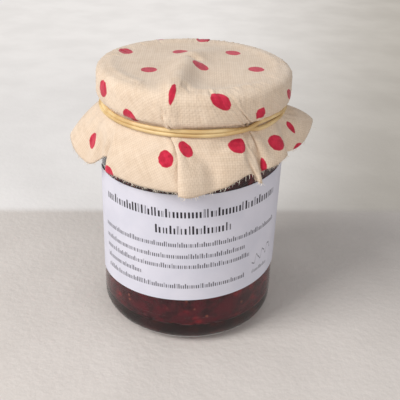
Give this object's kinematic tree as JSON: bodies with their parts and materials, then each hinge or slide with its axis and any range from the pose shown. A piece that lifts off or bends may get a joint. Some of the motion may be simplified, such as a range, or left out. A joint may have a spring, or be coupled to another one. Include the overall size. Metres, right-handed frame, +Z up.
{
  "type": "jam jar with cloth cover",
  "caption": "Small round jam jar, filled, with a wrapped paper label and a twist-off lid under a gathered dotted cloth held by a rubber band.",
  "frame": {"origin": "centre of the foot, on the plane that the jar stands on", "axes": "+Z up through the lid, -Y towards the middle of the label, +X to the right seen from the front"},
  "size_m": [0.066, 0.0624, 0.0738],
  "materials": {
    "glass": "clear polished soda-lime glass",
    "jam": "dark red seedy fruit jam, wet",
    "lid_metal": "lacquered tinplate, satin",
    "label_paper": "uncoated white printer label paper with dark grey printed bars",
    "cotton": "plain-weave cream cotton with crimson dots, raw frayed edge",
    "band_rubber": "natural tan rubber, satin"
  },
  "bodies": {
    "root": {"jar_glass": "glass", "jam": "jam", "lid": "lid_metal", "label": "label_paper", "cloth_cover": "cotton", "rubber_band": "band_rubber"}
  },
  "joints": []
}
